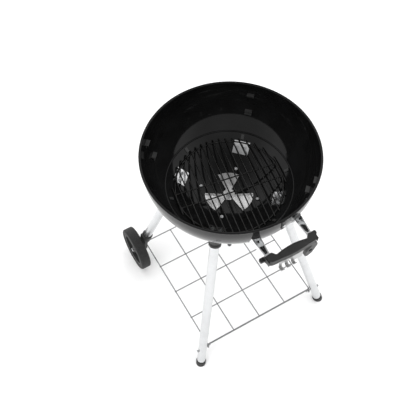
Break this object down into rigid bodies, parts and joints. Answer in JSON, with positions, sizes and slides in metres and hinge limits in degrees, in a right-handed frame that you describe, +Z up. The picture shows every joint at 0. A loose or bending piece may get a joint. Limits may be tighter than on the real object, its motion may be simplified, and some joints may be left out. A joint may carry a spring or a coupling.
{
  "type": "kettle charcoal grill",
  "caption": "Charcoal kettle grill base: round enamelled bowl on splayed chromed legs with rear wheels, wire shelf, charcoal grate, ash sweeper, slide-out ash pan and front handle.",
  "frame": {"origin": "on the floor, under the bowl's vertical axis", "axes": "+Z up, along the bowl's axis; the handle is at the front, towards -Y; the wheels are at the back, towards +Y; left is -X, as seen from the handle"},
  "size_m": [0.576, 0.7175, 0.87],
  "materials": {
    "black_enamel": "glossy porcelain enamel",
    "grate_steel": "plain steel rod",
    "leg_chrome": "satin chromed tube",
    "plate_chrome": "bright plated sheet",
    "collar_plastic": "black moulded",
    "cap_plastic": "black moulded",
    "hub_plastic": "grey-black moulded",
    "tyre": "grained",
    "fastener_steel": "zinc-plated",
    "shelf_wire": "plated wire",
    "blade_aluminium": "plain sheet",
    "lever_steel": "plated sheet",
    "knob_plastic": "black moulded",
    "pan_paint": "black heat-proof paint",
    "arm_chrome": "polished casting",
    "grip_plastic": "heat-proof moulding",
    "hook_steel": "plated sheet",
    "lug_metal": "grey coated"
  },
  "bodies": {
    "frame": {"axle_bolt_left": "fastener_steel", "axle_bolt_right": "fastener_steel", "axle_carrier_left": "cap_plastic", "axle_carrier_right": "cap_plastic", "axle_washers": "fastener_steel", "bowl": "black_enamel", "charcoal_grate_rests": "black_enamel", "foot_cap_front_left": "cap_plastic", "foot_cap_front_right": "cap_plastic", "handle_arm_bolts": "fastener_steel", "handle_arm_left": "arm_chrome", "handle_arm_right": "arm_chrome", "handle_end_cap_left": "grip_plastic", "handle_end_cap_right": "grip_plastic", "handle_grip": "grip_plastic", "handle_screws": "fastener_steel", "leg_collar_front_left": "collar_plastic", "leg_collar_front_right": "collar_plastic", "leg_collar_rear_left": "collar_plastic", "leg_collar_rear_right": "collar_plastic", "leg_front_left": "leg_chrome", "leg_front_right": "leg_chrome", "leg_plate_front_left": "plate_chrome", "leg_plate_front_right": "plate_chrome", "leg_plate_nuts": "fastener_steel", "leg_plate_rear_left": "plate_chrome", "leg_plate_rear_right": "plate_chrome", "leg_plate_studs": "fastener_steel", "leg_rear_left": "leg_chrome", "leg_rear_right": "leg_chrome", "lower_grate_tabs": "black_enamel", "opener_lug": "lug_metal", "pan_rail_bolts": "fastener_steel", "pan_rail_left": "black_enamel", "pan_rail_nuts": "fastener_steel", "pan_rail_right": "black_enamel", "pan_rail_spacers": "fastener_steel", "rim_hook_tab": "black_enamel", "rim_tab_rivet": "fastener_steel", "shelf_bolts": "fastener_steel", "shelf_nuts": "fastener_steel", "tool_hook_plate": "hook_steel", "tool_plate_screws": "fastener_steel", "upper_grate_tabs": "black_enamel", "wall_nuts": "fastener_steel", "wall_screw": "fastener_steel", "wire_shelf": "shelf_wire"},
    "left_wheel": {"wheel_hub_left": "hub_plastic", "wheel_tyre_left": "tyre"},
    "right_wheel": {"wheel_hub_right": "hub_plastic", "wheel_tyre_right": "tyre"},
    "vent_sweeper": {"ash_sweeper": "blade_aluminium", "sweeper_shaft": "fastener_steel", "sweeper_nuts": "fastener_steel", "vent_lever": "lever_steel", "vent_lever_knob": "knob_plastic"},
    "charcoal_grate": {"charcoal_grate": "grate_steel"},
    "ash_pan": {"ash_pan": "pan_paint", "ash_pan_pull": "shelf_wire"}
  },
  "joints": [
    {"name": "left_wheel_spin", "type": "hinge", "parent": "frame", "child": "left_wheel", "pos_m": [-0.268, 0.247, 0.0875], "axis": [1, 0, 0], "continuous": true},
    {"name": "right_wheel_spin", "type": "hinge", "parent": "frame", "child": "right_wheel", "pos_m": [0.268, 0.247, 0.0875], "axis": [1, 0, 0], "continuous": true},
    {"name": "vent_sweep", "type": "hinge", "parent": "frame", "child": "vent_sweeper", "pos_m": [0, 0, 0.61], "axis": [0, 0, 1], "range_deg": [0, 60]},
    {"name": "charcoal_grate_lift", "type": "slide", "parent": "frame", "child": "charcoal_grate", "axis": [0, 0, 1], "range_m": [0, 0.25]},
    {"name": "ash_pan_slide", "type": "slide", "parent": "frame", "child": "ash_pan", "axis": [0, -1, 0], "range_m": [0, 0.26]}
  ]
}
